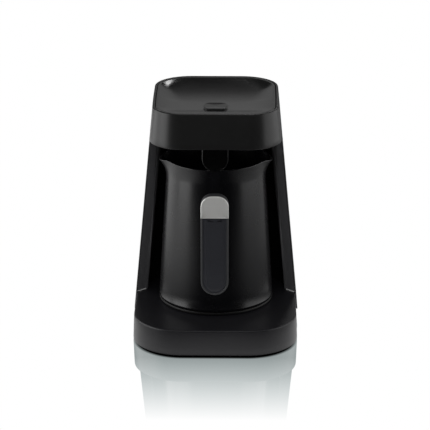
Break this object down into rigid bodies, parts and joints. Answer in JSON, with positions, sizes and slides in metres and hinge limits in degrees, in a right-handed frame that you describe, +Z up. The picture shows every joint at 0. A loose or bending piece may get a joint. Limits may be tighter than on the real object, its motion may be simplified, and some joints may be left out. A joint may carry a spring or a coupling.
{
  "type": "electric turkish coffee maker",
  "caption": "Countertop Turkish coffee maker: tapered housing with a flat base, overhanging head with a push button, and a lift-out coated steel jug with side spouts and a strap handle.",
  "frame": {"origin": "centre of the bounding box in X and Y, on the plane that the rubber feet stand on", "axes": "+Z up, -Y towards the user, +X to the user's right"},
  "size_m": [0.1652, 0.2, 0.2329],
  "materials": {
    "graphite_plastic": "satin moulded, fine texture",
    "head_plastic": "satin moulded, soft sheen",
    "bay_plastic": "satin moulded",
    "coated_steel": "dark satin coating",
    "brushed_cap": "brushed across",
    "grip_pad": "fine soft-touch texture",
    "handle_plastic": "satin moulded",
    "foot_rubber": "matt",
    "cast_aluminium": "coated, satin",
    "bare_steel": "zinc plated",
    "seal_rubber": "matt silicone",
    "circuit_board": "solder mask",
    "dark_component": "moulded case",
    "clear_lens": "dark red, clear",
    "light_pipe": "translucent white",
    "lead_insulation": "silicone sleeve"
  },
  "bodies": {
    "stand": {"base_tray": "graphite_plastic", "base_plate": "graphite_plastic", "rubber_feet": "foot_rubber", "base_screws": "bare_steel", "heating_plate": "cast_aluminium", "plate_seal": "seal_rubber", "plate_carrier": "bare_steel", "carrier_screws": "bare_steel", "heater_element": "bare_steel", "element_terminals": "bare_steel", "temperature_sensor": "cast_aluminium", "thermostat": "dark_component", "thermal_fuse": "bare_steel", "terminal_block": "dark_component", "rear_housing": "graphite_plastic", "housing_screws": "bare_steel", "bay_liner": "bay_plastic", "cord_gland": "foot_rubber", "gland_nut": "dark_component", "power_board": "circuit_board", "board_screws": "bare_steel", "relay": "dark_component", "transformer": "dark_component", "capacitor": "cast_aluminium", "heatsink": "cast_aluminium", "wire_loom": "lead_insulation", "heater_leads": "lead_insulation", "head_shell": "head_plastic", "top_panel": "head_plastic", "tact_switch": "dark_component", "control_board": "circuit_board", "control_screws": "bare_steel", "light_guide": "light_pipe", "buzzer": "dark_component", "head_floor": "bay_plastic", "head_screws": "bare_steel", "sensor_nose": "bay_plastic", "sensor_lens": "clear_lens", "sensor_board": "circuit_board"},
    "jug": {"jug_body": "coated_steel", "jug_base_disc": "cast_aluminium", "jug_base_ring": "coated_steel", "handle_frame": "handle_plastic", "handle_accent": "brushed_cap", "handle_grip": "grip_pad", "handle_bracket": "bare_steel", "handle_screws": "bare_steel"},
    "button": {"button_cap": "head_plastic", "switch_plunger": "dark_component"}
  },
  "joints": [
    {"name": "jug_slide", "type": "slide", "parent": "stand", "child": "jug", "axis": [0, -1, 0], "range_m": [0, 0.19]},
    {"name": "button_press", "type": "slide", "parent": "stand", "child": "button", "axis": [0, 0, -1], "range_m": [0, 0.001], "stiffness_N_per_m": 1500, "springref_m": -0.0003}
  ]
}
